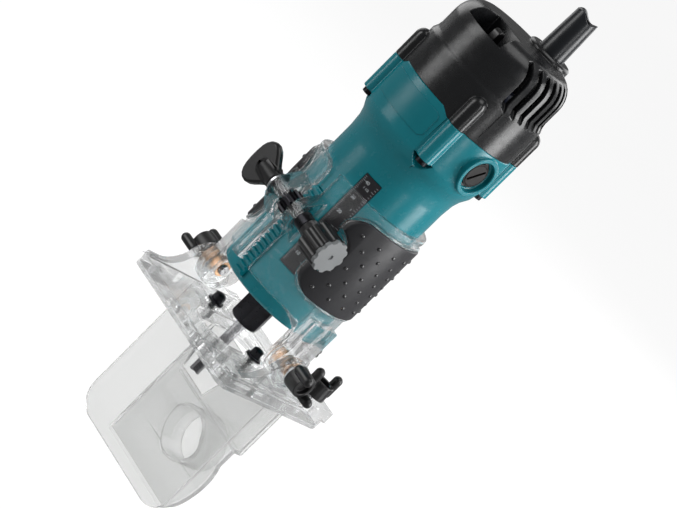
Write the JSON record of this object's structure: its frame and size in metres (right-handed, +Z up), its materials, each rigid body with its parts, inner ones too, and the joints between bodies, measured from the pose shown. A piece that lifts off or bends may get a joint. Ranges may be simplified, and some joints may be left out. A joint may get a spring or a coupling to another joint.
{
  "type": "trim router",
  "caption": "Hand-held trim router: motor with rack height drive in a tilting clear base, on a flat sole with a chip nozzle below and a cord sleeve on top.",
  "frame": {"origin": "spindle axis where it meets the underside of the sole plate, base upright", "axes": "+Z up along the spindle to the cord, +X along the tilt axle to the round knobs, -Y to the side with the clamp, the scale and the switch"},
  "size_m": [0.1246, 0.1073, 0.337],
  "materials": {
    "clear_plastic": "clear moulded polycarbonate",
    "smoke_plastic": "clear bent sheet, slightly grey",
    "teal_housing": "glossy moulded teal plastic",
    "black_cap": "satin black moulded plastic",
    "black_knob": "matt black moulded plastic",
    "black_steel": "blackened steel",
    "dark_rubber": "dark grey moulded rubber",
    "grey_cap": "light grey plastic disc",
    "steel": "bare steel",
    "tool_steel": "ground tool steel",
    "brass": "knurled brass",
    "label": "blank glossy label panel",
    "scale_strip": "charcoal scale strip",
    "brown_cap": "dark brown thermoset",
    "carbon": "carbon block",
    "lamination": "stacked electrical steel",
    "copper": "enamelled copper wire",
    "commutator_copper": "segmented copper",
    "fan_plastic": "black nylon fan",
    "white_plastic": "white moulded insulation",
    "blue_film": "blue film capacitor"
  },
  "bodies": {
    "plate": {"base_plate": "clear_plastic", "sole_plate": "clear_plastic", "sole_screws": "steel", "nozzle_screws": "black_steel", "dust_nozzle": "smoke_plastic", "tilt_washers": "steel"},
    "tilt_clamp_left": {"tilt_bolt_left": "black_knob"},
    "tilt_clamp_right": {"tilt_bolt_right": "black_knob"},
    "guide_clamp": {"guide_clamp_bolt": "black_knob"},
    "thumb_screw": {"rear_thumb_screw": "black_knob"},
    "base": {"base_body": "clear_plastic", "pivot_inserts": "brass", "grip_right": "dark_rubber", "grip_left": "dark_rubber", "clamp_washer": "steel"},
    "depth_drive": {"pinion_shaft": "black_steel", "depth_knob": "black_knob", "knob_cap": "grey_cap"},
    "depth_clamp": {"clamp_wing_nut": "black_knob"},
    "motor": {"motor_housing": "teal_housing", "gear_rack": "teal_housing", "depth_scale": "scale_strip", "nameplate": "label", "top_cover": "black_cap", "cover_screws": "black_steel", "cord_sleeve": "dark_rubber", "cord_clamp": "white_plastic", "cord_clamp_screws": "steel", "switch_body": "white_plastic", "brush_caps": "brown_cap", "brush_holders": "brass", "carbon_brushes": "carbon", "brush_springs": "steel", "field_core": "lamination", "field_coils": "copper", "lower_bearing": "steel", "upper_bearing": "steel", "bearing_sleeve": "dark_rubber", "bearing_bridge": "white_plastic", "air_baffle": "fan_plastic", "suppressor_capacitor": "blue_film"},
    "switch": {"switch_lever": "black_knob"},
    "spindle": {"armature_shaft": "tool_steel", "armature_core": "lamination", "armature_windings": "copper", "commutator": "commutator_copper", "cooling_fan": "fan_plastic", "collet": "tool_steel", "collet_nut": "black_steel", "router_bit": "tool_steel"}
  },
  "joints": [
    {"name": "base_tilt", "type": "hinge", "parent": "plate", "child": "base", "pos_m": [0, 0, 0.0227], "axis": [-1, 0, 0], "range_deg": [0, 25]},
    {"name": "tilt_clamp_left_turn", "type": "hinge", "parent": "plate", "child": "tilt_clamp_left", "pos_m": [-0.05, 0, 0.0227], "axis": [-1, 0, 0], "range_deg": [0, 180]},
    {"name": "tilt_clamp_right_turn", "type": "hinge", "parent": "plate", "child": "tilt_clamp_right", "pos_m": [0.05, 0, 0.0227], "axis": [1, 0, 0], "range_deg": [0, 180]},
    {"name": "guide_clamp_turn", "type": "hinge", "parent": "plate", "child": "guide_clamp", "pos_m": [0.0375, 0.0355, 0.02], "axis": [0, 0, 1], "range_deg": [0, 180]},
    {"name": "thumb_screw_turn", "type": "hinge", "parent": "plate", "child": "thumb_screw", "pos_m": [0, 0.052, 0.022], "axis": [0, 1, 0], "range_deg": [0, 180]},
    {"name": "height_slide", "type": "slide", "parent": "base", "child": "motor", "axis": [0, 0, 1], "range_m": [-0.01, 0.025]},
    {"name": "height_knob_turn", "type": "hinge", "parent": "base", "child": "depth_drive", "pos_m": [0, -0.0413, 0.085], "axis": [1, 0, 0], "range_deg": [-96, 239.5]},
    {"name": "height_clamp_turn", "type": "hinge", "parent": "base", "child": "depth_clamp", "pos_m": [-0.025, -0.0413, 0.085], "axis": [-1, 0, 0], "range_deg": [0, 180]},
    {"name": "switch_slide", "type": "slide", "parent": "motor", "child": "switch", "axis": [1, 0, 0], "range_m": [-0.009, 0]},
    {"name": "spindle_turn", "type": "hinge", "parent": "motor", "child": "spindle", "pos_m": [0, 0, 0.1], "axis": [0, 0, 1], "continuous": true}
  ],
  "couplings": [
    {"joint": "height_knob_turn", "follows": "height_slide", "rad_per_m": 166.67}
  ]
}
